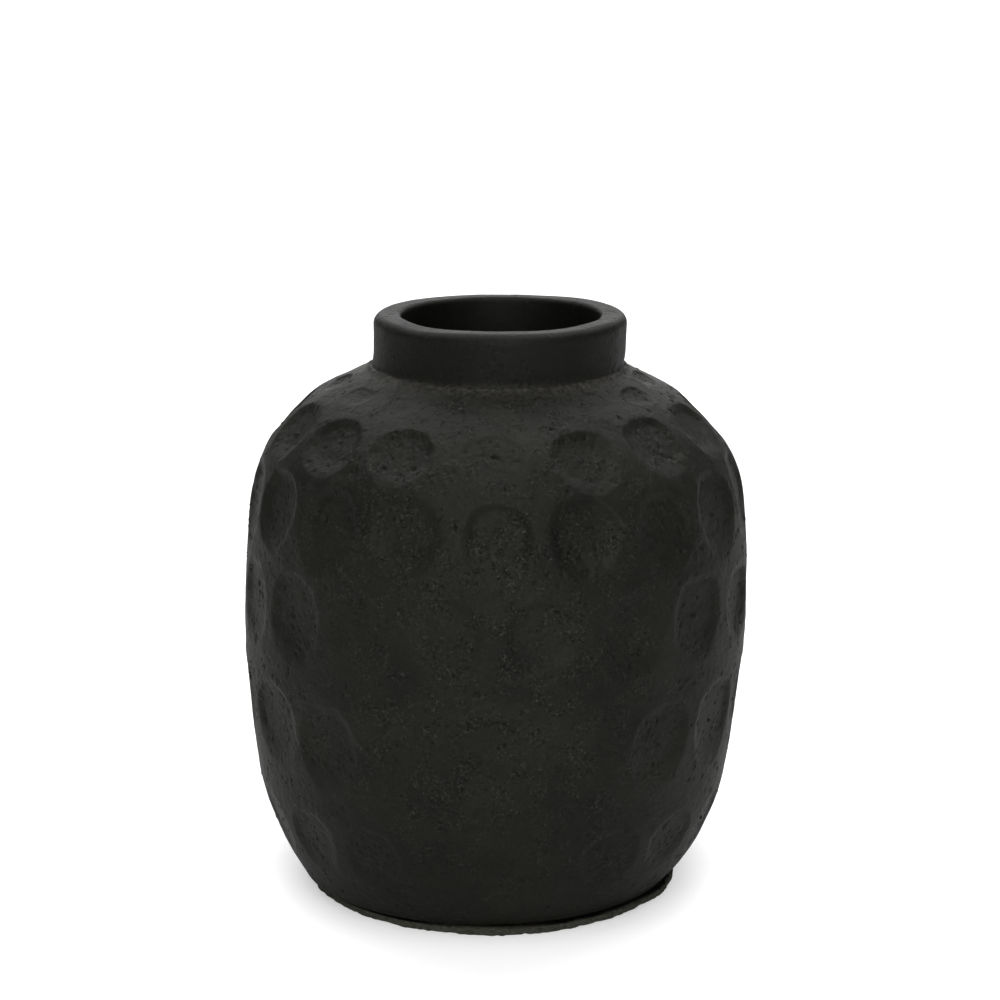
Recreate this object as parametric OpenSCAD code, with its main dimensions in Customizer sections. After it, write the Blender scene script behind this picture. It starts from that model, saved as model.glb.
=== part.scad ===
// Hand-built black clay pot: a round body thumb-pressed in staggered rows, a short upright neck with
// a soft-edged lip, and a thin felt pad under the floor.
// Millimetres, +Z up. The origin is the centre of the pad's underside, where the pot stands.

/* [Body] */
// Greatest radius of the body
belly_r = 90; // [84:0.5:100]
// Height of the widest level above the surface the pot stands on
belly_z = 104; // [100:0.5:108]
// Radius of the nearly upright curve round the widest level
belly_curve = 380; // [300:5:500]
// Radius of the curve that turns in over the shoulder
shoulder_curve = 53; // [50:0.5:55]
// Radius of the curve that turns in towards the foot
foot_curve = 90; // [82:0.5:100]
// Thickness of the clay wall and floor
wall = 9; // [7:0.25:10]

/* [Body curve limits] */
// Elevation of the surface normal where the belly curve meets the shoulder curve
shoulder_start = 5; // [3:0.5:7]
// Elevation of the surface normal where the shoulder curve becomes a cone
shoulder_end = 63; // [60:0.5:66]
// Depression of the surface normal where the belly curve meets the foot curve
foot_start = 9; // [7:0.5:11]
// Depression of the surface normal where the foot curve becomes a cone
foot_end = 33; // [30:0.5:34]
// Radius of the worn edge round the underside
base_edge = 2; // [1:0.25:3]

/* [Neck and lip] */
// Outside radius of the neck at the crease on the shoulder
neck_r = 44.3; // [42:0.1:48]
// Outside radius of the neck under the lip
lip_out_r = 44.8; // [44.3:0.1:46]
// Inside radius of the neck
bore_r = 35; // [33:0.25:36]
// Height of the lip's highest point
top_z = 206.4; // [202:0.2:214]
// Height of the rim coil, from its luted joint to the top of the lip
rim_coil_h = 8.4; // [6:0.2:10]
// Radius of the lip's outer edge
lip_out_round = 3.25; // [1.5:0.25:4]
// Radius of the lip's inner edge
lip_in_round = 1.75; // [1:0.25:4]

/* [Thumb marks] */
// Marks in each of the four body rows
body_marks = 18; // [12:1:18]
// Marks in each of the two rows round the throat
throat_marks = 15; // [9:1:15]
// Height of the row at the foot
foot_row_z = 28.5; // [27:0.5:31]
// Height of the row on the lower belly
lower_row_z = 68; // [66:0.5:70]
// Height of the row on the upper belly
upper_row_z = 110; // [108:0.5:112]
// Height of the row on the shoulder
shoulder_row_z = 143.5; // [142:0.5:145]
// Height of the wide row round the throat
throat_row_z = 168.5; // [167.5:0.5:169.5]
// Height of the small row under the neck
collar_row_z = 182; // [181.5:0.1:182.5]
// Radius of the ball of the thumb that pressed the large marks
thumb_curve = 47; // [36:1:48]
// Depth of the large marks
thumb_depth = 2.3; // [1:0.1:2.4]
// Radius of the fingertip that pressed the small row under the neck
finger_curve = 40; // [30:1:42]
// Depth of the small marks
finger_depth = 0.8; // [0.5:0.1:1.3]

/* [Joints and pad] */
// Tilt of each luted joint from square to the wall, the outer edge being the lower
lute_tilt = 20; // [10:1:28]
// Thickness of the felt pad
pad_t = 3; // [2:0.25:4]
// How far the pad stops inside the edge of the floor
pad_inset = 0.4; // [0:0.1:2]

/* [Hidden] */
$fn = 144;
clay = [0.16, 0.16, 0.165];
felt = [0.45, 0.42, 0.36];
reach = 400;
// The tighter curves stand this much proud and run on this far, so that neighbours cross cleanly.
blend_proud = 0.004;
blend_turn = 10;

// Centres of the three body curves in the half-section; each curve runs on smoothly into the next.
belly_c = [belly_r - belly_curve, belly_z];
shoulder_c = belly_c + (belly_curve - shoulder_curve) * heading(shoulder_start);
foot_c = belly_c + (belly_curve - foot_curve) * heading(-foot_start);

// Where the curves meet, and where the cones at either end begin.
shoulder_low = shoulder_c + shoulder_curve * heading(shoulder_start);
shoulder_top = shoulder_c + shoulder_curve * heading(shoulder_end);
foot_top = foot_c + foot_curve * heading(-foot_start);
foot_low = foot_c + foot_curve * heading(-foot_end);

base_z = pad_t;
floor_z = base_z + wall;
base_r = foot_low[0] - (foot_low[1] - base_z) * tan(foot_end);
// Height of the throat coil's inner edge, under the joint with the neck.
neck_step = 0.8;
crease_z = shoulder_top[1] + (shoulder_top[0] - neck_r) / tan(shoulder_end);
lip_out_c = [lip_out_r - lip_out_round, top_z - lip_out_round];
lip_in_c = [bore_r + lip_in_round, top_z - lip_in_round];

// Heights of the luted joints on the outside, each midway between two rows of marks.
foot_joint = (foot_row_z + lower_row_z) / 2;
belly_joint = (lower_row_z + upper_row_z) / 2;
shoulder_joint = (upper_row_z + shoulder_row_z) / 2;
throat_joint = (shoulder_row_z + throat_row_z) / 2;
rim_joint = top_z - rim_coil_h;

// Unit vector at an elevation in the half-section.
function heading(a) = [cos(a), sin(a)];

// Elevation of the outside surface's normal at height z.
function slope_at(z) =
    z > shoulder_top[1] ? shoulder_end :
    z > shoulder_low[1] ? asin((z - shoulder_c[1]) / shoulder_curve) :
    z > foot_top[1] ? asin((z - belly_c[1]) / belly_curve) :
    asin((z - foot_c[1]) / foot_curve);

// Point of the outside surface at height z.
function skin_at(z) =
    z > shoulder_top[1] ? [shoulder_top[0] - (z - shoulder_top[1]) * tan(shoulder_end), z] :
    z > shoulder_low[1] ? shoulder_c + shoulder_curve * heading(slope_at(z)) :
    z > foot_top[1] ? belly_c + belly_curve * heading(slope_at(z)) :
    foot_c + foot_curve * heading(slope_at(z));

// The slice of a disc between two elevations, kept on the positive side of the axis.
module curve_slice(centre, radius, from, to) {
    middle = (from + to) / 2;
    far = radius * 1.3;
    intersection() {
        translate(centre)
            circle(r = radius);
        polygon([centre, centre + far * heading(from), centre + far * heading(middle),
                 centre + far * heading(to)]);
        translate([0, -reach])
            square([reach, 3 * reach]);
    }
}

// Half-section bounded by the body's curves moved in by a depth, from z = low up to the axis.
module body_section(depth, low) {
    far_low = foot_c + (foot_curve - depth) * heading(-foot_end);
    far_top = shoulder_c + (shoulder_curve - depth) * heading(shoulder_end);
    low_r = far_low[0] - (far_low[1] - low) * tan(foot_end);
    peak_z = far_top[1] + far_top[0] / tan(shoulder_end);
    union() {
        polygon([[0, low], [low_r, low], far_low,
                 foot_c + (foot_curve - depth) * heading(-foot_start),
                 shoulder_c + (shoulder_curve - depth) * heading(shoulder_start),
                 far_top, [0, peak_z]]);
        curve_slice(foot_c, foot_curve - depth + blend_proud,
                    -foot_end - blend_turn, -foot_start + blend_turn);
        curve_slice(belly_c, belly_curve - depth, -foot_start, shoulder_start);
        curve_slice(shoulder_c, shoulder_curve - depth + blend_proud,
                    shoulder_start - blend_turn, shoulder_end + blend_turn);
    }
}

// Half-section of the body's wall, without its floor and with the neck's bore open.
module wall_section() {
    difference() {
        body_section(0, base_z);
        body_section(wall, base_z);
        translate([0, -reach])
            square([bore_r, 3 * reach]);
    }
}

// Everything on the upper side of the joint at height z on the outside, or on the lower side.
module side_of_joint(z, upper) {
    translate(skin_at(z))
        rotate(slope_at(z) - lute_tilt)
            translate([-reach, upper ? 0 : -reach])
                square([2 * reach, reach]);
}

// The wall between two luted joints, turned round the axis.
module coil(low_joint, high_joint) {
    rotate_extrude()
        intersection() {
            wall_section();
            side_of_joint(low_joint, true);
            side_of_joint(high_joint, false);
        }
}

// A row of presses round the body at height z; the first is at the front, or half a pitch from it.
module press_row(z, count, staggered, ball_r, depth) {
    seat = skin_at(z) + (ball_r - depth) * heading(slope_at(z));
    start = staggered ? 180 / count : 0;
    for (i = [0 : count - 1])
        rotate(start - 90 + i * 360 / count)
            translate([seat[0], 0, seat[1]])
                sphere(r = ball_r);
}

module felt_pad() {
    color(felt)
        cylinder(r = base_r - pad_inset, h = pad_t);
}

module floor_slab() {
    edge_c = [base_r - base_edge * tan((90 - foot_end) / 2), base_z + base_edge];
    side_r = base_r + wall * tan(foot_end);
    color(clay)
        rotate_extrude()
            union() {
                polygon([[0, base_z], [edge_c[0], base_z], edge_c + base_edge * heading(-foot_end),
                         [side_r, floor_z], [0, floor_z]]);
                intersection() {
                    translate(edge_c)
                        circle(r = base_edge);
                    polygon([edge_c, edge_c + 2 * base_edge * heading(-90),
                             edge_c + 2 * base_edge * heading(-foot_end)]);
                }
            }
}

module foot_coil() {
    color(clay)
        difference() {
            rotate_extrude()
                intersection() {
                    wall_section();
                    translate([0, floor_z])
                        square([reach, reach]);
                    side_of_joint(foot_joint, false);
                }
            press_row(foot_row_z, body_marks, true, thumb_curve, thumb_depth);
        }
}

module lower_belly_coil() {
    color(clay)
        difference() {
            coil(foot_joint, belly_joint);
            press_row(lower_row_z, body_marks, false, thumb_curve, thumb_depth);
        }
}

module upper_belly_coil() {
    color(clay)
        difference() {
            coil(belly_joint, shoulder_joint);
            press_row(upper_row_z, body_marks, true, thumb_curve, thumb_depth);
        }
}

module shoulder_coil() {
    color(clay)
        difference() {
            coil(shoulder_joint, throat_joint);
            press_row(shoulder_row_z, body_marks, false, thumb_curve, thumb_depth);
        }
}

// The joint under the neck falls inwards, from the crease outside to the bore just above its edge.
module neck_seat_section(upper) {
    inner_top = shoulder_c + (shoulder_curve - wall) * heading(shoulder_end);
    seat_z = inner_top[1] + (inner_top[0] - bore_r) / tan(shoulder_end) + neck_step;
    rise = atan2(crease_z - seat_z, neck_r - bore_r);
    translate([bore_r, seat_z])
        rotate(rise)
            translate([-reach, upper ? 0 : -reach])
                square([2 * reach, reach]);
}

module throat_coil() {
    color(clay)
        difference() {
            rotate_extrude()
                intersection() {
                    wall_section();
                    side_of_joint(throat_joint, true);
                    neck_seat_section(false);
                }
            press_row(throat_row_z, throat_marks, false, thumb_curve, thumb_depth);
            press_row(collar_row_z, throat_marks, true, finger_curve, finger_depth);
        }
}

// Radius of the neck's outside at the rim coil's joint; it widens a little from crease to lip.
rim_joint_r = neck_r + (lip_out_r - neck_r) * (rim_joint - crease_z) / (lip_out_c[1] - crease_z);

module neck_collar() {
    color(clay)
        rotate_extrude()
            intersection() {
                polygon([[bore_r, 0], [neck_r, 0], [neck_r, crease_z], [rim_joint_r, rim_joint],
                         [bore_r, rim_joint]]);
                neck_seat_section(true);
            }
}

// A quarter disc that rounds an edge of the lip; side is 1 outwards and -1 inwards.
module lip_quarter(centre, radius, side) {
    intersection() {
        translate(centre)
            circle(r = radius);
        translate([side > 0 ? centre[0] : centre[0] - 2 * radius, centre[1]])
            square([2 * radius, 2 * radius]);
    }
}

module rim_coil() {
    color(clay)
        rotate_extrude()
            union() {
                polygon([[bore_r, rim_joint], [rim_joint_r, rim_joint], [lip_out_r, lip_out_c[1]],
                         lip_out_c, [lip_out_c[0], top_z], [lip_in_c[0], top_z], lip_in_c,
                         [bore_r, lip_in_c[1]]]);
                lip_quarter(lip_out_c, lip_out_round, 1);
                lip_quarter(lip_in_c, lip_in_round, -1);
            }
}

felt_pad();
floor_slab();
foot_coil();
lower_belly_coil();
upper_belly_coil();
shoulder_coil();
throat_coil();
neck_collar();
rim_coil();
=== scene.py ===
"""A hand-built black clay pot, thumb-pressed in staggered rows, on a felt pad in a pale studio."""
import itertools
import math

import bpy
import numpy as np
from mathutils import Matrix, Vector


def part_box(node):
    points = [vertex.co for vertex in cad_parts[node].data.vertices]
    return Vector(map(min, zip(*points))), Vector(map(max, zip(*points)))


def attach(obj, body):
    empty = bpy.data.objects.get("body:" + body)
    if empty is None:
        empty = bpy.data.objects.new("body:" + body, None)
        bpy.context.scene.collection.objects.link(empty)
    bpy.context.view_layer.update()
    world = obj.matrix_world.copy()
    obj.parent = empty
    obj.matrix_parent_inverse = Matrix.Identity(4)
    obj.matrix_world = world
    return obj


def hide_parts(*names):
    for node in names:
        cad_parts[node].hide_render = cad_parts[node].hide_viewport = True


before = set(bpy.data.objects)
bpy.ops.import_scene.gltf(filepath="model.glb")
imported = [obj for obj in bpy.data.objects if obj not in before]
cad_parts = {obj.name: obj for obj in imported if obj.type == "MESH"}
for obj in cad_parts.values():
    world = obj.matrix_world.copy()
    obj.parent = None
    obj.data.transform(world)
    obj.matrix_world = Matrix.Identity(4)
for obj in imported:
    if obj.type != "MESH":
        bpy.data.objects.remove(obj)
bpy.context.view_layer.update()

MM = 0.001
ROOT = "root"


# ---------------------------------------------------------------- sizes, in millimetres
def low(node):
    return np.array(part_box(node)[0]) / MM


def high(node):
    return np.array(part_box(node)[1]) / MM


PAD_T = high("felt_pad")[2]
PAD_R = high("felt_pad")[0]
FLOOR_Z = high("floor_slab")[2]
WALL = FLOOR_Z - PAD_T
TOP_Z = high("rim_coil")[2]
LIP_R = high("rim_coil")[0]
RIM_JOINT = low("rim_coil")[2]
FOOT_JOINT = low("lower_belly_coil")[2]
BELLY_JOINT = low("upper_belly_coil")[2]
SHOULDER_JOINT = low("shoulder_coil")[2]

BELLY_R = 90.0          # greatest radius of the body
BELLY_Z = 104.0         # height of the widest level
BELLY_CURVE = 380.0     # radius of the nearly upright curve
SHOULDER_CURVE = 53.0   # radius of the curve over the shoulder
FOOT_CURVE = 90.0       # radius of the curve to the foot
SHOULDER_START = 5.0    # elevations of the surface normal where the curves meet
SHOULDER_END = 63.0
FOOT_START = -9.0
FOOT_END = -33.0
THROAT_JOINT = 156.0    # height of the luted joint over the shoulder row
LUTE_TILT = 20.0        # tilt of a luted joint from square to the wall
NECK_R = 44.3           # outside radius of the neck at its foot
BORE_R = 35.0           # inside radius of the neck
BASE_EDGE = 1.0         # radius of the edge under the floor
BASE_GAP = 0.65         # how far that edge stands off the felt where it is most worn
WORN_SIDE = 65.0        # where that is, in degrees from the front
CREASE = 1.1            # radius of the crease between shoulder and neck
LIP_OUT = 3.25          # radii of the lip's outer and inner edges
LIP_IN = 1.75
LIP_DIP = 1.0           # how much lower the lip is at the front than at the back
ROLL = 0.5              # height of the roll of clay pressed in round the foot of the neck
ROLL_AT = 0.9           # how far below the crease it lies
ROLL_WIDTH = 1.1
THROAT_ROUND = 7.0      # radius of the inside edge between throat and bore
FLOOR_ROUND = 9.0       # radius of the inside corner between wall and floor
FLOOR_SEAM = 1.5        # how far above the floor its joint to the wall comes out inside
CAP_R = 42.0            # radius inside which the rings of points get fewer towards the middle
CAP_RINGS = [1.0, 0.94, 0.83, 0.66, 0.42, 0.2]  # places of those rings, as shares of it
ARC_STEP = 0.05         # length of one step of an arc, before the outline is spaced evenly

COLUMNS = 960           # points round a ring
SKIN_STEP = 0.6         # height of a row of faces outside
INSIDE_STEP = 3.0       # height of a row of faces inside

WARP = 0.45             # how far the whole form strays from round
WARP_SCALE = 55.0       # and over what distance
BURR = 0.09             # height of the clay pushed up round a mark
MARK_ROWS = [
    # height, marks, staggered, half width, half height, depth, share of it at the front
    (28.5, 18, True, 11.6, 12.4, 2.0, 0.28),
    (69.0, 18, False, 12.8, 15.4, 2.5, 0.34),
    (110.0, 18, True, 12.4, 14.4, 2.5, 0.56),
    (143.5, 18, False, 12.8, 14.2, 3.0, 1.10),
    (168.5, 15, False, 12.4, 11.8, 2.6, 0.85),
    (182.0, 15, True, 6.6, 4.8, 0.9, 0.25),
]
FAINT_MARK = (168.5, 0)  # height and number of the one mark hardly pressed, front of the throat
FAINT = 0.40            # how deep it is next to its neighbours
BOWL = 0.60             # how much of a mark's depth is a round hollow; the rest is flat with a wall
FRONT_REACH = 0.82      # angle from the front over which the marks are less deep, in radians
SIDE_GROWTH = 0.10      # how much bigger the marks are away from the front
NECK_FOOT_Z = 187.6     # height of the crease
NECK_SEAT_Z = 183.0     # height of the neck's joint inside
RIDGE_STEP = 11.0       # height from one finger ridge inside to the next
RIDGE = 0.35            # height of a ridge
PAD_SHIFT = (-0.9, -1.2)  # how far off centre the felt was stuck
SIDE_TRIM = 0.7         # how much less it reaches at the sides than at the front
PAD_EDGE = 0.7          # radius of its cut edge
LEAN = [
    # height, sideways shift of the axis
    (0, -3.1), (8, -2.5), (20, -1.7), (35, -1.3), (60, -0.8), (100, -0.1), (125, 0.4), (148, 0.7),
    (160, 0.1), (168, -0.4), (184, 0.1), (190, 1.8), (207, 2.0),
]
SEED = 7


# ---------------------------------------------------------------- colours, dark and light if two
CLAY = [(0.0024, 0.0024, 0.0017), (0.0070, 0.0069, 0.0051)]
SPECK = (0.036, 0.035, 0.030)
GRAIN = (0.090, 0.087, 0.075)
PIT_SHADE = (0.0006, 0.0006, 0.0005)
# painted shade inside the pits
NECK_BLACK = (0.0010, 0.0010, 0.0008)
# pale band under the crease: scraped grit with painted light
SCRAPED_LIT_BAND = (0.026, 0.025, 0.021)
FELT = [(0.020, 0.0203, 0.0155), (0.062, 0.062, 0.050)]
# painted shadow in the gap between the felt and the clay
GAP_SHADOW = (0.0008, 0.0008, 0.0007)
TABLE = [(0.67, 0.67, 0.67), (0.69, 0.69, 0.69)]


# ---------------------------------------------------------------- light and camera
SUN_ANGLE = 36.0        # how wide each light looks, for soft shadows
FILL = 0.12             # brightness of the white room round the pot
LIGHTS = [
    # name, elevation, azimuth, strength
    ("overhead", 72, 0, 0.47),
    ("overhead_rear", 75, 180, 0.28),
    ("front_high", 40, 0, 0.22),
    ("front", 10, 0, 0.59),
    ("rear_left", 47, -145, 0.33),
    ("rear_right", 47, 145, 0.35),
    ("behind", 13, 180, 0.235),
]
LIFT = 0.40             # glow of the white table, seen by the camera only
BACKDROP = 1.2          # brightness of the room as the camera sees it
FLOOR_HALF = 30.0       # half the table's width, in metres

CAMERA_LENS = 96.8
CAMERA_PLACE = (0.0016, -0.9357, 0.3603)  # in metres
CAMERA_DIP = 13.35      # degrees below level


# ---------------------------------------------------------------- noise
def lattice(ix, iy, iz, seed):
    """Repeatable values from -1 to 1 on whole-number points."""
    h = (ix * 374761393 + iy * 668265263 + iz * 2147483647 + seed * 974634777) & 0xFFFFFFFF
    h = ((h ^ (h >> 13)) * 1274126177) & 0xFFFFFFFF
    h = ((h ^ (h >> 16)) * 2246822519) & 0xFFFFFFFF
    return (h ^ (h >> 15)).astype(np.float64) / 0x7FFFFFFF - 1.0


SEEDS = itertools.count(SEED + 1)


def next_seed():
    """A new seed each time, in an order that never changes."""
    return next(SEEDS)


def noise(points, scale, seed):
    """Smooth value noise over points, with features about one scale across."""
    p = points / scale
    cell = np.floor(p).astype(np.int64)
    f = p - cell
    f = f * f * f * (f * (f * 6 - 15) + 10)
    out = np.zeros(len(points))
    for dx in (0, 1):
        wx = f[:, 0] if dx else 1 - f[:, 0]
        for dy in (0, 1):
            wy = f[:, 1] if dy else 1 - f[:, 1]
            for dz in (0, 1):
                wz = f[:, 2] if dz else 1 - f[:, 2]
                value = lattice(cell[:, 0] + dx, cell[:, 1] + dy, cell[:, 2] + dz, seed)
                out += wx * wy * wz * value
    return out


def smooth(low_edge, high_edge, x):
    t = np.clip((x - low_edge) / (high_edge - low_edge), 0, 1)
    return t * t * (3 - 2 * t)


# ---------------------------------------------------------------- the pot's outline
def heading(angle):
    return np.array([math.cos(math.radians(angle)), math.sin(math.radians(angle))])


def arc(centre, radius, start, end):
    """Points of an arc in the half-section; start and end are elevations of its outward normal."""
    count = max(2, int(abs(math.radians(end - start)) * radius / ARC_STEP))
    return [centre + radius * heading(a) for a in np.linspace(start, end, count)]


BELLY_C = np.array([BELLY_R - BELLY_CURVE, BELLY_Z])
SHOULDER_C = BELLY_C + (BELLY_CURVE - SHOULDER_CURVE) * heading(SHOULDER_START)
FOOT_C = BELLY_C + (BELLY_CURVE - FOOT_CURVE) * heading(FOOT_START)


def body_curves(depth):
    """The three body curves moved in by a depth, from the foot up to the throat."""
    return (arc(FOOT_C, FOOT_CURVE - depth, FOOT_END, FOOT_START)
            + arc(BELLY_C, BELLY_CURVE - depth, FOOT_START, SHOULDER_START)
            + arc(SHOULDER_C, SHOULDER_CURVE - depth, SHOULDER_START, SHOULDER_END))


def rounded(before, corner, after, radius):
    """The arc that rounds the corner between two straight runs."""
    a = (before - corner) / np.linalg.norm(before - corner)
    b = (after - corner) / np.linalg.norm(after - corner)
    half = math.acos(np.clip(a @ b, -1, 1)) / 2
    reach = radius / math.tan(half)
    centre = corner + (a + b) / np.linalg.norm(a + b) * radius / math.sin(half)
    start, end = corner + a * reach - centre, corner + b * reach - centre
    turn = math.atan2(start[0] * end[1] - start[1] * end[0], start @ end)
    first = math.atan2(start[1], start[0])
    count = max(3, int(abs(turn) * radius / ARC_STEP))
    return [centre + radius * np.array([math.cos(first + turn * t), math.sin(first + turn * t)])
            for t in np.linspace(0, 1, count)]


def even(points, step):
    """The same line with evenly spaced points."""
    points = np.array(points)
    keep = np.r_[True, np.linalg.norm(np.diff(points, axis=0), axis=1) > 1e-6]
    points = points[keep]
    run = np.r_[0, np.cumsum(np.linalg.norm(np.diff(points, axis=0), axis=1))]
    count = max(2, int(round(run[-1] / step)) + 1)
    at = np.linspace(0, run[-1], count)
    return np.column_stack([np.interp(at, run, points[:, 0]), np.interp(at, run, points[:, 1])])


def skin_outline():
    """Outside of the pot, from under the floor up and over the lip to its inner edge."""
    body = body_curves(0)
    foot, throat = body[0], body[-1]
    base_r = foot[0] - (foot[1] - PAD_T) * math.tan(math.radians(-FOOT_END))
    crease_z = throat[1] + (throat[0] - NECK_R) / math.tan(math.radians(SHOULDER_END))
    under, base = np.array([CAP_R, PAD_T]), np.array([base_r, PAD_T])
    crease = np.array([NECK_R, crease_z])
    lip_c = np.array([LIP_R - LIP_OUT, TOP_Z - LIP_OUT])
    neck_top = np.array([LIP_R, lip_c[1]])
    return ([under] + rounded(under, base, foot, BASE_EDGE) + body
            + rounded(throat, crease, neck_top, CREASE) + arc(lip_c, LIP_OUT, 0, 90)
            + [np.array([BORE_R + LIP_IN, TOP_Z])])


def inside_outline():
    """Inside of the pot, from the lip's inner edge down to the floor, its lip in finer steps."""
    body = body_curves(WALL)[::-1]
    throat, foot = body[0], body[-1]
    lip_c = np.array([BORE_R + LIP_IN, TOP_Z - LIP_IN])
    edge_z = throat[1] + (throat[0] - BORE_R) / math.tan(math.radians(SHOULDER_END))
    floor_r = foot[0] - (foot[1] - FLOOR_Z) * math.tan(math.radians(-FOOT_END))
    bore_top, edge = np.array([BORE_R, lip_c[1]]), np.array([BORE_R, edge_z])
    corner, middle = np.array([floor_r, FLOOR_Z]), np.array([CAP_R, FLOOR_Z])
    wall = [point for point in body if point[1] > FLOOR_Z + FLOOR_ROUND]
    lip = even(arc(lip_c, LIP_IN, 90, 180), SKIN_STEP)
    rest = ([lip[-1]] + rounded(bore_top, edge, throat, THROAT_ROUND)
            + wall + rounded(wall[-1], corner, middle, FLOOR_ROUND) + [middle])
    return np.concatenate([lip, even(rest, INSIDE_STEP)[1:]])


# ---------------------------------------------------------------- turned surfaces
class Surface:
    """Rings of points about the axis, with each one's place, outward normal and push along it."""

    def __init__(self, line):
        tangent = np.gradient(line, axis=0)
        tangent /= np.linalg.norm(tangent, axis=1)[:, None]
        self.radius, self.height = line[:, 0], line[:, 1]
        self.run = np.r_[0, np.cumsum(np.linalg.norm(np.diff(line, axis=0), axis=1))]
        self.columns = COLUMNS
        turn = np.arange(COLUMNS) * 2 * math.pi / COLUMNS
        across = np.column_stack([np.sin(turn), -np.cos(turn)])
        self.place = self.spin(line[:, 0], line[:, 1], across)
        self.normal = self.spin(tangent[:, 1], -tangent[:, 0], across)
        self.turn = turn
        self.push = np.zeros((len(line), COLUMNS))
        self.rise = np.zeros((len(line), COLUMNS))

    @staticmethod
    def spin(out, up, across):
        """Turns a part across the axis and a part along it, one pair a ring, into a grid."""
        grid = np.empty((len(out), len(across), 3))
        grid[:, :, 0] = out[:, None] * across[None, :, 0]
        grid[:, :, 1] = out[:, None] * across[None, :, 1]
        grid[:, :, 2] = up[:, None]
        return grid

    def field(self, scale):
        """Noise with features of a scale, a value for each point."""
        return noise(self.place.reshape(-1, 3), scale, next_seed()).reshape(self.push.shape)

    def add_noise(self, scale, amount, rows):
        """Adds noise with features of a scale; rows weights each ring."""
        self.push += self.field(scale) * amount * rows[:, None]

    def patch(self, row, turn, up, side):
        """Rows and columns near a point, with their distances round and along the surface."""
        rows = np.where(np.abs(self.run - self.run[row]) < up)[0]
        pitch = 2 * math.pi / self.columns
        reach = int(side / self.radius[row] / pitch) + 1
        cols = np.arange(-reach, reach + 1) + int(round(turn / pitch))
        u = (cols * pitch - turn)[None, :] * self.radius[rows][:, None]
        v = (self.run[rows] - self.run[row])[:, None] + np.zeros_like(u)
        return np.ix_(rows, cols % self.columns), u, v

    def finish(self, warp=True):
        """Moves the points by their push and rise, and keeps a normal for each."""
        points = self.place + self.normal * self.push[:, :, None]
        if warp:
            weight = smooth(PAD_T, PAD_T + 25, self.place[:, :, 2])
            for axis in range(3):
                points[:, :, axis] += WARP * weight * self.field(WARP_SCALE)
            points[:, :, 0] += lean(points[:, :, 2])
        points[:, :, 2] += self.rise
        around = np.roll(points, -1, axis=1) - np.roll(points, 1, axis=1)
        along = np.gradient(points, axis=0)
        normals = np.cross(around, along)
        self.points = points
        self.normals = normals / np.linalg.norm(normals, axis=2)[:, :, None]


def lean(height):
    """Sideways place of the pot's axis at a height: it was built a little out of true."""
    heights, shifts = np.array(LEAN).T
    spread = np.arange(-4, 5)
    return sum(np.interp(height + d, heights, shifts) for d in spread) / len(spread)


# ---------------------------------------------------------------- thumb marks and pits
def thumb_mark(surface, layers, row, turn, half_w, half_h, depth, skew, squareness):
    """Presses one mark: a hollow with a crisp wall over its top and a soft lower end."""
    marks, burrs, wobble = layers
    block, u, v = surface.patch(row, turn, half_h * 1.5, half_w * 1.5)
    u, v = u * math.cos(skew) + v * math.sin(skew), v * math.cos(skew) - u * math.sin(skew)
    narrow = 1 - 0.12 * np.clip(-v / half_h, 0, 1)
    across, along = np.abs(u / (half_w * narrow)), np.abs(v / half_h)
    q = (across ** squareness + along ** squareness) ** (1 / squareness) + 0.05 * wobble[block]
    q = np.maximum(q, 1e-6)
    upness = v / half_h / q
    wall_start = np.where(upness > 0, 0.66 + 0.14 * upness, 0.66 + 0.40 * upness)
    wall = 1 - smooth(wall_start, 1.0, q)
    bowl = np.clip(1 - q ** 2, 0, 1)
    pressed = -depth * (BOWL * bowl + (1 - BOWL) * wall) * (1 + 0.10 * v / half_h)
    burr = BURR * np.exp(-((q - 1.10) / 0.13) ** 2) * (0.6 + 0.4 * upness) * min(1, depth / 2)
    marks[block] = np.minimum(marks[block], pressed)
    burrs[block] = np.maximum(burrs[block], burr)


def press_marks(surface, skin_rows, rng):
    """Presses every row of marks, and returns how deep each point lies under the land."""
    marks = np.zeros_like(surface.push)
    burrs = np.zeros_like(surface.push)
    wobble = surface.field(4.5)
    for height, count, staggered, half_w, half_h, depth, share in MARK_ROWS:
        for i in range(count):
            turn = (i + (0.5 if staggered else 0)) * 2 * math.pi / count
            away = min(turn, 2 * math.pi - turn)
            front = math.exp(-(away / FRONT_REACH) ** 2)
            deep = depth * (1 - (1 - share) * front)
            size = 1 + SIDE_GROWTH * (1 - front)
            j = rng.normal(size=7)
            deep *= FAINT if (height, i) == FAINT_MARK else 1 + 0.14 * j[0]
            row = int(np.argmin(np.abs(surface.height[:skin_rows] - height - 0.9 * j[1])))
            thumb_mark(surface, (marks, burrs, wobble), row, turn + 0.8 * j[2] / surface.radius[row],
                       half_w * size * (1 + 0.04 * j[3]), half_h * size * (1 + 0.05 * j[4]),
                       deep, 0.07 * j[5], 2.25 + 0.15 * j[6])
    surface.push += marks + burrs * (marks > -0.3)
    return marks


def scatter(surface, weight, rng, count, size, depth):
    """Small round pits, thickest where the weight is, or grains where the depth is negative."""
    share = (weight * surface.radius[:, None]).ravel()
    picked = rng.choice(share.size, size=count, p=share / share.sum())
    sizes = size * np.exp(0.35 * rng.normal(size=count))
    depths = depth * np.exp(0.4 * rng.normal(size=count))
    stretches = rng.uniform(0.75, 1.3, count)
    for place, radius, deep, stretch in zip(picked, sizes, depths, stretches):
        row, column = divmod(int(place), surface.columns)
        turn = column * 2 * math.pi / surface.columns
        block, u, v = surface.patch(row, turn, radius * 2, radius * 2)
        q = np.hypot(u * stretch, v / stretch) / radius
        surface.push[block] -= deep * np.exp(-(q * 1.35) ** 4)


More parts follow.
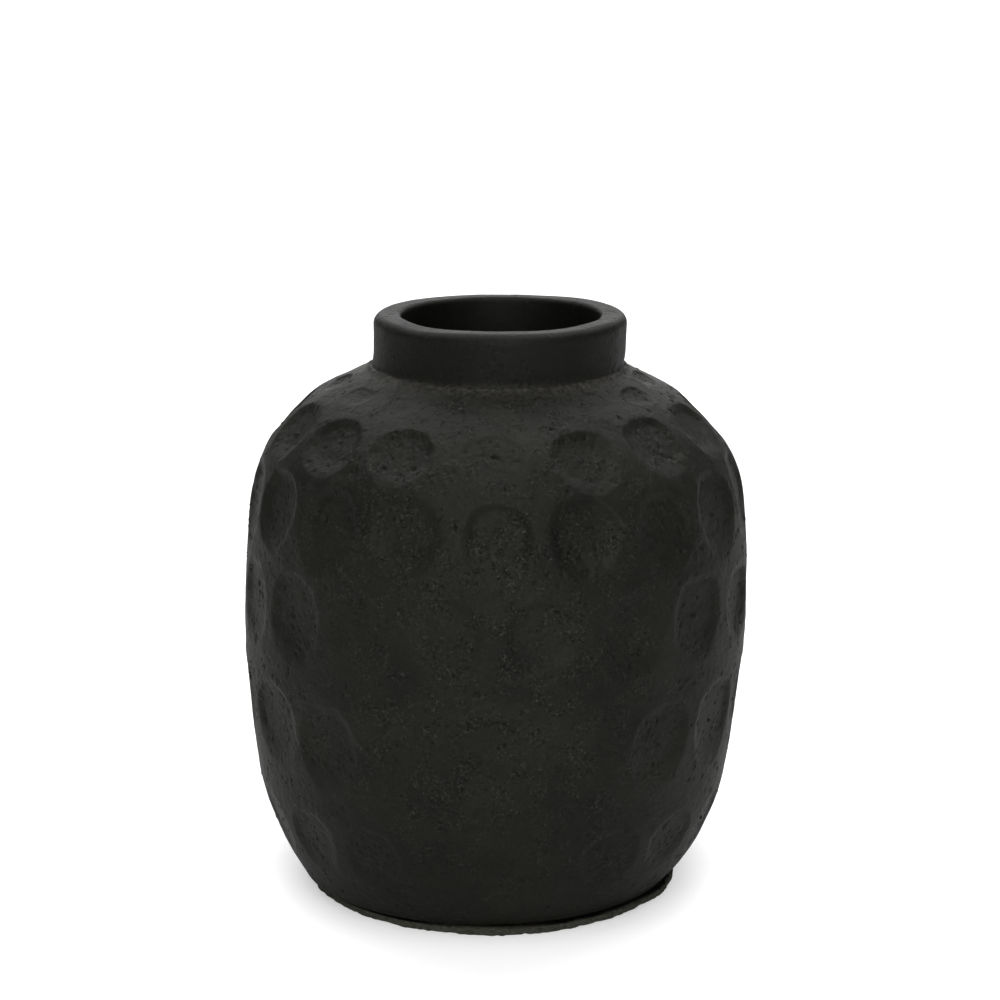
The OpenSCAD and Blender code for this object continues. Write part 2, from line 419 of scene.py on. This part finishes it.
# ---------------------------------------------------------------- meshes
class Shell:
    """Points and faces of one piece, gathered ring by ring round its section."""

    def __init__(self):
        self.points, self.normals, self.faces, self.flats = [], [], [], []
        self.count = 0

    def add(self, points, normals=None):
        """Adds points and returns the first one's number; a normal of zero is left to Blender."""
        first = self.count
        self.points.append(points)
        self.normals.append(np.zeros_like(points) if normals is None else normals)
        self.count += len(points)
        return first

    def face(self, corners, flat=False, flip=False):
        """Adds faces; each item of corners holds one corner of every face."""
        corners = np.column_stack(corners)
        self.faces.append(corners[:, ::-1] if flip else corners)
        self.flats.append(np.full(len(corners), flat))

    def band(self, a, b, columns, flat=False):
        """Faces between two rings with as many points; they face out when b comes after a."""
        j = np.arange(columns)
        k = (j + 1) % columns
        self.face((a + j, a + k, b + k, b + j), flat)

    def rows(self, surface, first, last):
        """Every ring of a surface from one row to another."""
        starts = []
        for i in range(first, last + 1):
            starts.append(self.add(surface.points[i], surface.normals[i]))
        for a, b in zip(starts, starts[1:]):
            self.band(a, b, surface.columns)
        return starts[0], starts[-1]

    def cap(self, start, ring, flip):
        """Closes a ring towards its middle with rings that each have half as many points."""
        middle = ring.mean(axis=0)
        for share, next_share in zip(CAP_RINGS, CAP_RINGS[1:]):
            inner = middle + (ring[::2] - middle) * next_share / share
            b, half = self.add(inner), len(inner)
            j = np.arange(half)
            k = (j + 1) % half
            self.face((start + 2 * j, start + 2 * j + 1, b + j), flip=flip)
            self.face((start + 2 * j + 1, start + (2 * j + 2) % len(ring), b + k, b + j), flip=flip)
            start, ring = b, inner
        top = self.add(middle[None])
        j = np.arange(len(ring))
        self.face((start + j, start + (j + 1) % len(ring), np.full(len(ring), top)), flip=flip)

    def build(self, name, node, material):
        """Makes the object, which rides the pot's one body and stands for a CAD node."""
        points = np.concatenate(self.points) * MM
        normals = np.concatenate(self.normals)
        sizes = np.concatenate([np.full(len(f), f.shape[1]) for f in self.faces])
        corners = np.concatenate([f.ravel() for f in self.faces])
        flats = np.concatenate(self.flats)
        mesh = bpy.data.meshes.new(name)
        mesh.vertices.add(len(points))
        mesh.vertices.foreach_set("co", points.ravel())
        mesh.loops.add(len(corners))
        mesh.loops.foreach_set("vertex_index", corners.astype(np.int32))
        mesh.polygons.add(len(sizes))
        starts = np.r_[0, np.cumsum(sizes)[:-1]]
        mesh.polygons.foreach_set("loop_start", starts.astype(np.int32))
        mesh.polygons.foreach_set("use_smooth", ~flats)
        mesh.update(calc_edges=True)
        mesh.validate()
        custom = normals[corners]
        custom[np.repeat(flats, sizes)] = 0
        mesh.normals_split_custom_set(custom)
        mesh.materials.append(material)
        piece = bpy.data.objects.new(name, mesh)
        bpy.context.scene.collection.objects.link(piece)
        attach(piece, ROOT)
        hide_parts(node)
        return piece


# ---------------------------------------------------------------- materials
class Nodes:
    """A material's node tree, with short ways to add to it."""

    def __init__(self, name):
        self.material = bpy.data.materials.new(name)
        self.material.use_nodes = True
        self.tree = self.material.node_tree
        self.shader = self.tree.nodes["Principled BSDF"]
        self.space = self.tree.nodes.new("ShaderNodeTexCoord").outputs["Object"]

    def link(self, output, target):
        self.tree.links.new(output, target)

    def noise(self, scale_mm, detail=2.0, roughness=0.5, stretch=None):
        """Noise from 0 to 1 with features of a scale, squeezed along each axis by a stretch."""
        node = self.tree.nodes.new("ShaderNodeTexNoise")
        node.inputs["Scale"].default_value = 1 / (scale_mm * MM)
        node.inputs["Detail"].default_value = detail
        node.inputs["Roughness"].default_value = roughness
        source = self.space
        if stretch:
            mapping = self.tree.nodes.new("ShaderNodeMapping")
            mapping.inputs["Scale"].default_value = stretch
            self.link(source, mapping.inputs["Vector"])
            source = mapping.outputs["Vector"]
        self.link(source, node.inputs["Vector"])
        return node.outputs["Fac"]

    def ramp(self, value, stops):
        """A colour between the two of the stops."""
        node = self.tree.nodes.new("ShaderNodeValToRGB")
        for element, (at, colour) in zip(node.color_ramp.elements, stops):
            element.position = at
            element.color = (*colour, 1)
        self.link(value, node.inputs["Fac"])
        return node.outputs["Color"]

    def grey(self, value, low_at, high_at, low_value, high_value):
        """A value that goes from one number to another as the given one passes two marks."""
        node = self.tree.nodes.new("ShaderNodeMapRange")
        for key, number in (("From Min", low_at), ("From Max", high_at),
                            ("To Min", low_value), ("To Max", high_value)):
            node.inputs[key].default_value = number
        self.link(value, node.inputs["Value"])
        return node.outputs["Result"]

    def mix(self, share, first, second):
        """The first colour where the share is 0 and the second where it is 1."""
        node = self.tree.nodes.new("ShaderNodeMix")
        node.data_type = "RGBA"
        sockets = [i for i in node.inputs if i.type == "RGBA"]
        self.put(share, node.inputs[0])
        self.put(first, sockets[0])
        self.put(second, sockets[1])
        return [o for o in node.outputs if o.type == "RGBA"][0]

    def put(self, value, socket):
        """Joins an output to a socket, or sets the socket to a colour or a number."""
        if isinstance(value, bpy.types.NodeSocket):
            self.link(value, socket)
        elif isinstance(value, tuple):
            socket.default_value = (*value, 1)
        else:
            socket.default_value = value

    def add(self, first, second, share):
        """first + second * share."""
        node = self.tree.nodes.new("ShaderNodeMath")
        node.operation = "MULTIPLY_ADD"
        self.link(second, node.inputs[0])
        node.inputs[1].default_value = share
        self.link(first, node.inputs[2])
        return node.outputs[0]

    def times(self, first, second):
        node = self.tree.nodes.new("ShaderNodeMath")
        node.operation = "MULTIPLY"
        self.put(first, node.inputs[0])
        self.put(second, node.inputs[1])
        return node.outputs[0]

    def level(self, low_mm, high_mm, low_value, high_value, axis="Z"):
        """A value that changes between two heights on the object, or places along another axis."""
        node = self.tree.nodes.new("ShaderNodeSeparateXYZ")
        self.link(self.space, node.inputs[0])
        return self.grey(node.outputs[axis], low_mm * MM, high_mm * MM, low_value, high_value)

    def reach(self, low_mm, high_mm, low_value, high_value):
        """A value that changes between two distances from the object's axis."""
        flatten = self.tree.nodes.new("ShaderNodeVectorMath")
        flatten.operation = "MULTIPLY"
        flatten.inputs[1].default_value = (1, 1, 0)
        self.link(self.space, flatten.inputs[0])
        length = self.tree.nodes.new("ShaderNodeVectorMath")
        length.operation = "LENGTH"
        self.link(flatten.outputs["Vector"], length.inputs[0])
        return self.grey(length.outputs["Value"], low_mm * MM, high_mm * MM, low_value, high_value)

    def bump(self, height, distance_mm):
        node = self.tree.nodes.new("ShaderNodeBump")
        node.inputs["Distance"].default_value = distance_mm * MM
        self.link(height, node.inputs["Height"])
        self.link(node.outputs["Normal"], self.shader.inputs["Normal"])


def clay_material():
    """Smoke-blackened, unglazed clay: almost black, gritty, with pale grains and pits whose shade is
    painted near-black.
    """
    n = Nodes("black_clay")
    # where the surface is rough: in clusters, less on the neck, the foot and the sides
    clusters = n.grey(n.noise(8, 3, 0.6), 0.44, 0.60, 0.15, 1.0)
    rough = n.times(clusters, n.level(NECK_FOOT_Z - 1, NECK_FOOT_Z + 2, 1.0, 0.4))
    rough = n.times(rough, n.level(20, 60, 0.6, 1.0))
    rough = n.times(rough, n.times(n.level(-75, -35, 0.5, 1.0, "X"), n.level(35, 75, 1.0, 0.5, "X")))
    colour = n.ramp(n.noise(24, 4, 0.6), zip((0.3, 0.7), CLAY))
    grit = n.noise(0.95, 4, 0.75)
    specks = n.times(n.grey(grit, 0.54, 0.66, 0.0, 1.0), rough)
    colour = n.mix(n.times(specks, 0.8), colour, SPECK)
    grains = n.times(n.grey(n.noise(0.9, 2, 0.6), 0.71, 0.78, 0.0, 1.0), rough)
    colour = n.mix(n.times(grains, 0.8), colour, GRAIN)
    # pits: sunk by the bump, and painted near-black as the shade inside them
    shaded_pits = n.times(n.grey(n.noise(1.3, 3, 0.7), 0.57, 0.64, 0.0, 1.0), rough)
    colour = n.mix(shaded_pits, colour, PIT_SHADE)
    colour = n.mix(n.level(NECK_FOOT_Z, NECK_FOOT_Z + 2, 0.0, 0.65), colour, NECK_BLACK)
    # the pale band just under the crease: scraped grit, and painted light where the shoulder there
    # faces up to the overhead light
    lit_scraped_band = n.times(n.level(NECK_FOOT_Z - 3.2, NECK_FOOT_Z - 1.4, 0.0, 1.0),
                      n.level(NECK_FOOT_Z - 0.4, NECK_FOOT_Z + 0.6, 1.0, 0.0))
    lit_scraped_band = n.times(lit_scraped_band, n.reach(BORE_R + 4, BORE_R + 7, 0.0, 1.0))
    lit_scraped_band = n.times(lit_scraped_band, n.grey(n.noise(1.6, 3, 0.7), 0.42, 0.60, 0.1, 0.9))
    colour = n.mix(lit_scraped_band, colour, SCRAPED_LIT_BAND)
    n.link(colour, n.shader.inputs["Base Color"])
    n.link(n.grey(grit, 0.3, 0.7, 0.64, 0.54), n.shader.inputs["Roughness"])
    height = n.times(n.noise(2.6, 3, 0.55), n.level(NECK_FOOT_Z - 1, NECK_FOOT_Z + 2, 1.0, 0.5))
    height = n.add(height, n.times(grit, rough), 1.1)
    height = n.add(height, shaded_pits, -0.9)
    n.bump(height, 0.26)
    n.shader.inputs["Specular IOR Level"].default_value = 0.134
    n.shader.inputs["Specular Tint"].default_value = (1.0, 0.99, 0.94, 1.0)
    return n.material


def felt_material():
    """Grey-brown pressed felt, with a painted shadow along its top edge at the sides, where the
    clay's edge overhangs it.
    """
    n = Nodes("felt")
    colour = n.ramp(n.noise(1.6, 4, 0.6, (1, 1, 2.2)), zip((0.3, 0.7), FELT))
    # painted shadow: the felt's top edge blackened where the clay overhangs it, at both sides and
    # faint at the front
    right = n.times(n.level(0, 22, 0.1, 1.0, "X"), n.level(PAD_T - 0.5, PAD_T - 0.2, 0.0, 1.0))
    left = n.times(n.level(-30, -10, 1.0, 0.1, "X"), n.level(PAD_T - 0.7, PAD_T - 0.4, 0.0, 1.0))
    colour = n.mix(right, n.mix(left, colour, GAP_SHADOW), GAP_SHADOW)
    n.link(colour, n.shader.inputs["Base Color"])
    n.link(n.grey(n.noise(0.8, 2), 0.3, 0.7, 0.85, 1.0), n.shader.inputs["Roughness"])
    n.shader.inputs["Specular IOR Level"].default_value = 0.05
    n.bump(n.noise(0.6, 4, 0.7, (1, 1, 2.0)), 0.4)
    return n.material


# ---------------------------------------------------------------- the pot
def press_roll(surface, outside, below):
    """The ragged roll of clay pressed in round the foot of the neck."""
    roll = ROLL * np.exp(-((below - ROLL_AT) / ROLL_WIDTH) ** 2) * outside
    ragged = 1 + 0.45 * surface.field(4.0) + 0.5 * surface.field(1.5)
    surface.push += roll[:, None] * ragged


def pit(surface, outside, on_body, below, marks, rng):
    """Pits and grains, thickest in patches, in the marks, by the neck, at the front and the back."""
    neck = smooth(NECK_FOOT_Z, NECK_FOOT_Z + 2, surface.height)
    body = on_body * (surface.height > PAD_T + 2)
    patches = smooth(-0.15, 0.55, surface.field(9))
    near_neck = np.exp(-((below - 2) / 3) ** 2) * outside
    weight = body[:, None] * (0.25 + patches + 0.9 * (marks < -0.5)) + 0.9 * near_neck[:, None]
    weight *= 0.35 + 0.65 * np.cos(surface.turn) ** 2
    scatter(surface, weight, rng, 6000, 0.72, 0.27)
    scatter(surface, weight, rng, 3200, 0.66, -0.17)
    scatter(surface, (outside * neck)[:, None] * np.ones_like(marks), rng, 420, 0.6, 0.12)


def press_ridges(surface, outside):
    """Low ridges that the fingers left inside."""
    height = surface.height
    ridges = (1 - outside) * smooth(FLOOR_Z, FLOOR_Z + 20, height) * (1 - smooth(170, 184, height))
    wave = np.sin(height / RIDGE_STEP * 2 * math.pi)[:, None]
    surface.push += RIDGE * ridges[:, None] * wave * (0.7 + 0.5 * surface.field(30))


def tilt_lip(surface):
    """Lowers the lip towards the front."""
    front = 0.5 + 0.5 * np.cos(surface.turn)
    surface.rise -= LIP_DIP * smooth(190, TOP_Z - 1, surface.height)[:, None] * front


def wear_base(surface, outside):
    """Lifts the worn edge under the floor off the felt."""
    height = surface.height
    edge_r = surface.radius[height < PAD_T + 0.1].max()
    edge = smooth(edge_r - 9, edge_r - 1, surface.radius) * (1 - smooth(PAD_T + 1, PAD_T + 5, height))
    worn = 0.5 + 0.5 * np.cos(surface.turn - math.radians(WORN_SIDE))
    surface.rise += BASE_GAP * (edge * outside)[:, None] * (0.3 + 0.7 * worn)


def pot_surface():
    """The pot's whole surface from under the floor round to the floor inside."""
    skin = even(skin_outline(), SKIN_STEP)
    surface = Surface(np.concatenate([skin, inside_outline()[1:]]))
    rng = np.random.default_rng(SEED)
    height = surface.height
    outside = (np.arange(len(height)) < len(skin)).astype(float)
    on_body = outside * (1 - smooth(NECK_FOOT_Z - 2, NECK_FOOT_Z + 1, height))
    under = smooth(PAD_T, PAD_T + 3, height)
    grain = under * (0.45 + 0.55 * on_body)
    crease = int(np.argmax(height[:len(skin)] > NECK_FOOT_Z))
    below = surface.run[crease] - surface.run

    surface.add_noise(42, 0.45, under)
    surface.add_noise(17, 0.22, under)
    marks = press_marks(surface, len(skin), rng)
    surface.add_noise(7, 0.09, under)
    surface.add_noise(3.1, 0.045, grain)
    surface.add_noise(1.5, 0.028, grain)
    press_roll(surface, outside, below)
    pit(surface, outside, on_body, below, marks, rng)
    press_ridges(surface, outside)
    tilt_lip(surface)
    wear_base(surface, outside)
    surface.finish()
    return surface, len(skin)


def make_pot(clay):
    surface, skin_rows = pot_surface()
    columns = surface.columns

    def skin_row(height):
        return int(np.argmin(np.abs(surface.height[:skin_rows] - height)))

    def inside_row(height):
        return skin_rows + int(np.argmin(np.abs(surface.height[skin_rows:] - height)))

    def inner_end(height):
        """Height where the luted joint that starts outside at a height comes out inside."""
        row = skin_row(height)
        climb = surface.height[row + 1] - surface.height[row - 1]
        closing = surface.radius[row - 1] - surface.radius[row + 1]
        slope = math.degrees(math.atan2(closing, climb))
        run = WALL / math.cos(math.radians(LUTE_TILT))
        return height - run * math.sin(math.radians(slope - LUTE_TILT))

    heights = [FLOOR_Z, FOOT_JOINT, BELLY_JOINT, SHOULDER_JOINT, THROAT_JOINT]
    outer = [skin_row(h) for h in heights]
    inner = [inside_row(FLOOR_Z + FLOOR_SEAM)] + [inside_row(inner_end(h)) for h in heights[1:]]
    crease = skin_row(NECK_FOOT_Z)
    outer += [crease, skin_row(RIM_JOINT)]
    inner += [inside_row(NECK_SEAT_Z), inside_row(RIM_JOINT)]

    coils = ["foot_coil", "lower_belly_coil", "upper_belly_coil", "shoulder_coil", "throat_coil",
             "neck_collar"]
    for i, name in enumerate(coils):
        shell = Shell()
        low_out, high_out = shell.rows(surface, outer[i], outer[i + 1])
        high_in, low_in = shell.rows(surface, inner[i + 1], inner[i])
        shell.band(high_out, high_in, columns, flat=True)
        shell.band(low_in, low_out, columns, flat=True)
        shell.build("pot_" + name, name, clay)

    shell = Shell()
    first, last = shell.rows(surface, outer[-1], inner[-1])
    shell.band(last, first, columns, flat=True)
    shell.build("pot_rim_coil", "rim_coil", clay)

    shell = Shell()
    first, side = shell.rows(surface, 0, outer[0])
    edge, last = shell.rows(surface, inner[0], len(surface.run) - 1)
    shell.band(side, edge, columns, flat=True)
    shell.cap(first, surface.points[0], flip=True)
    shell.cap(last, surface.points[-1], flip=False)
    shell.build("pot_floor_slab", "floor_slab", clay)


def make_pad(felt):
    """The felt pad: cut by hand, so its edge wanders and its fibres stand out."""
    turn_r = PAD_R - PAD_EDGE
    line = ([np.array([CAP_R, 0.0]), np.array([turn_r, 0.0])]
            + arc(np.array([turn_r, PAD_EDGE]), PAD_EDGE, -90, 0)
            + arc(np.array([turn_r, PAD_T - PAD_EDGE]), PAD_EDGE, 0, 90) + [np.array([CAP_R, PAD_T])])
    surface = Surface(even(line, SKIN_STEP))
    near_edge = smooth(PAD_R - 3, PAD_R - 0.3, surface.radius)
    surface.add_noise(22, 0.5, near_edge)
    surface.add_noise(5, 0.28, near_edge)
    surface.add_noise(1.6, 0.22, near_edge)
    surface.push -= SIDE_TRIM * near_edge[:, None] * np.sin(surface.turn) ** 2
    surface.finish(warp=False)
    surface.points[:, :, 2] = np.clip(surface.points[:, :, 2], 0, PAD_T)
    surface.points += np.array([*PAD_SHIFT, 0])
    shell = Shell()
    first, last = shell.rows(surface, 0, len(surface.run) - 1)
    shell.cap(first, surface.points[0], flip=True)
    shell.cap(last, surface.points[-1], flip=False)
    pad = shell.build("pad_felt", "felt_pad", felt)


# ---------------------------------------------------------------- the studio
def make_stage():
    n = Nodes("studio_floor")
    n.link(n.ramp(n.noise(400, 2), zip((0.3, 0.7), TABLE)), n.shader.inputs["Base Color"])
    n.shader.inputs["Roughness"].default_value = 0.9
    n.shader.inputs["Emission Color"].default_value = (1, 1, 1, 1)
    path = n.tree.nodes.new("ShaderNodeLightPath")
    n.link(n.times(path.outputs["Is Camera Ray"], LIFT), n.shader.inputs["Emission Strength"])
    mesh = bpy.data.meshes.new("floor")
    half = FLOOR_HALF
    mesh.from_pydata([(-half, -half, 0), (half, -half, 0), (half, half, 0), (-half, half, 0)],
                     [], [(0, 1, 2, 3)])
    mesh.materials.append(n.material)
    floor = bpy.data.objects.new("floor", mesh)
    bpy.context.scene.collection.objects.link(floor)


def soft_sun(name, elevation, azimuth, strength):
    """A wide, soft light from far off; azimuth 0 is the camera's side and 90 the right."""
    data = bpy.data.lights.new(name, "SUN")
    data.energy = strength * math.pi
    data.angle = math.radians(SUN_ANGLE)
    up, turn = math.radians(elevation), math.radians(azimuth)
    toward = Vector((math.cos(up) * math.sin(turn), -math.cos(up) * math.cos(turn), math.sin(up)))
    light = bpy.data.objects.new(name, data)
    light.rotation_euler = toward.to_track_quat("Z", "Y").to_euler()
    bpy.context.scene.collection.objects.link(light)


def make_lights():
    for light in LIGHTS:
        soft_sun(*light)
    world = bpy.data.worlds.new("studio")
    world.use_nodes = True
    bpy.context.scene.world = world
    tree = world.node_tree
    background = tree.nodes["Background"]
    background.inputs["Color"].default_value = (1, 1, 1, 1)
    path = tree.nodes.new("ShaderNodeLightPath")
    strength = tree.nodes.new("ShaderNodeMapRange")
    strength.inputs["To Min"].default_value = FILL
    strength.inputs["To Max"].default_value = BACKDROP
    tree.links.new(path.outputs["Is Camera Ray"], strength.inputs["Value"])
    tree.links.new(strength.outputs["Result"], background.inputs["Strength"])


def make_camera():
    data = bpy.data.cameras.new("camera")
    data.sensor_width = 36
    data.lens = CAMERA_LENS
    data.clip_end = 100
    camera = bpy.data.objects.new("camera", data)
    camera.location = CAMERA_PLACE
    camera.rotation_euler = (math.radians(90 - CAMERA_DIP), 0, 0)
    bpy.context.scene.collection.objects.link(camera)
    bpy.context.scene.camera = camera


make_pot(clay_material())
make_pad(felt_material())
make_stage()
make_lights()
make_camera()
bpy.context.scene.view_settings.view_transform = "Standard"
